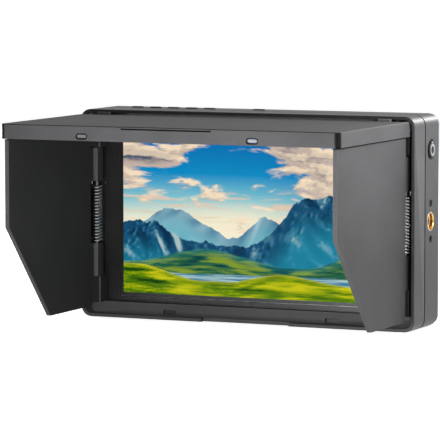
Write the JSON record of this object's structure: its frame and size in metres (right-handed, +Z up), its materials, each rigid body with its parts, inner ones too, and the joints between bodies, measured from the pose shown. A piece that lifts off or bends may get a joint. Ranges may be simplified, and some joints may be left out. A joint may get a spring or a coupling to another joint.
{
  "type": "camera field monitor with sun hood",
  "caption": "Small camera-top video monitor in a rounded casing, with a folding sun hood of a hinged lid and sprung side flaps, tripod threads and a battery plate.",
  "frame": {"origin": "centre of the bottom tripod thread's mouth, on the base face", "axes": "+X to the viewer's right along the casing's width, +Y from the screen to the back, +Z up"},
  "size_m": [0.1546, 0.1099, 0.0905],
  "materials": {
    "casing": "satin moulded, fine texture",
    "seam": "matt",
    "glass": "polished",
    "picture": "lit picture, emissive",
    "backlight": "matt white",
    "tray": "stamped sheet",
    "ribbon": "film",
    "board": "solder mask",
    "heatsink": "black anodised",
    "socket": "plated shell",
    "jack": "moulded",
    "key": "satin",
    "mat": "soft",
    "ring": "matt seal",
    "button": "satin nickel, dark mark",
    "insert": "turned",
    "plate": "moulded",
    "hood": "satin outside, dead matt inside",
    "magnet": "nickel plated",
    "pin": "ground",
    "spring": "drawn wire",
    "screw": "black zinc"
  },
  "bodies": {
    "casing": {"front_frame": "casing", "seam_gasket": "seam", "rear_housing": "casing", "cover_glass": "glass", "display_panel": "picture", "backlight_unit": "backlight", "display_tray": "tray", "display_ribbon": "ribbon", "main_board": "board", "heatsink": "heatsink", "video_in_socket": "socket", "video_out_socket": "socket", "dc_jack": "jack", "headphone_jack": "jack", "service_port": "socket", "key_board": "board", "key_mat": "mat", "power_ring": "ring", "power_switch": "jack", "insert_right": "insert", "insert_left": "insert", "insert_bottom": "insert", "battery_plate": "plate", "battery_contacts": "insert", "frame_magnets": "magnet", "left_flap_pin": "pin", "right_flap_pin": "pin", "left_flap_spring": "spring", "right_flap_spring": "spring", "lid_pins": "pin", "housing_screws": "screw", "board_screws": "screw", "plate_screws": "screw"},
    "lid": {"lid_cover": "hood", "lid_magnets": "magnet"},
    "left_flap": {"left_flap": "hood"},
    "right_flap": {"right_flap": "hood"},
    "power_button": {"power_button": "button"},
    "battery_release": {"battery_release": "key"},
    "key_1": {"top_key_1": "key"},
    "key_2": {"top_key_2": "key"},
    "key_3": {"top_key_3": "key"},
    "key_4": {"top_key_4": "key"},
    "key_5": {"top_key_5": "key"},
    "key_6": {"top_key_6": "key"}
  },
  "joints": [
    {"name": "lid_raise", "type": "hinge", "parent": "casing", "child": "lid", "pos_m": [0, -0.0156, 0.0844], "axis": [-1, 0, 0], "range_deg": [0, 15]},
    {"name": "left_flap_fold", "type": "hinge", "parent": "casing", "child": "left_flap", "pos_m": [-0.0712, -0.0153, 0.045], "axis": [0, 0, 1], "range_deg": [0, 90], "stiffness_Nm_per_rad": 0.01, "springref_deg": -34.38, "deforming": ["left_flap_spring"]},
    {"name": "right_flap_fold", "type": "hinge", "parent": "casing", "child": "right_flap", "pos_m": [0.0712, -0.0132, 0.045], "axis": [0, 0, -1], "range_deg": [0, 90], "stiffness_Nm_per_rad": 0.01, "springref_deg": -34.38, "deforming": ["right_flap_spring"]},
    {"name": "power_button_press", "type": "slide", "parent": "casing", "child": "power_button", "axis": [-1, 0, 0], "range_m": [0, 0.0005], "stiffness_N_per_m": 400, "springref_m": -0.001},
    {"name": "battery_release_slide", "type": "slide", "parent": "casing", "child": "battery_release", "axis": [0, 0, -1], "range_m": [0, 0.0025], "stiffness_N_per_m": 300, "springref_m": -0.003},
    {"name": "key_1_press", "type": "slide", "parent": "casing", "child": "key_1", "axis": [0, 0, -1], "range_m": [0, 0.0004], "stiffness_N_per_m": 400, "springref_m": -0.001},
    {"name": "key_2_press", "type": "slide", "parent": "casing", "child": "key_2", "axis": [0, 0, -1], "range_m": [0, 0.0004], "stiffness_N_per_m": 400, "springref_m": -0.001},
    {"name": "key_3_press", "type": "slide", "parent": "casing", "child": "key_3", "axis": [0, 0, -1], "range_m": [0, 0.0004], "stiffness_N_per_m": 400, "springref_m": -0.001},
    {"name": "key_4_press", "type": "slide", "parent": "casing", "child": "key_4", "axis": [0, 0, -1], "range_m": [0, 0.0004], "stiffness_N_per_m": 400, "springref_m": -0.001},
    {"name": "key_5_press", "type": "slide", "parent": "casing", "child": "key_5", "axis": [0, 0, -1], "range_m": [0, 0.0004], "stiffness_N_per_m": 400, "springref_m": -0.001},
    {"name": "key_6_press", "type": "slide", "parent": "casing", "child": "key_6", "axis": [0, 0, -1], "range_m": [0, 0.0004], "stiffness_N_per_m": 400, "springref_m": -0.001}
  ]
}
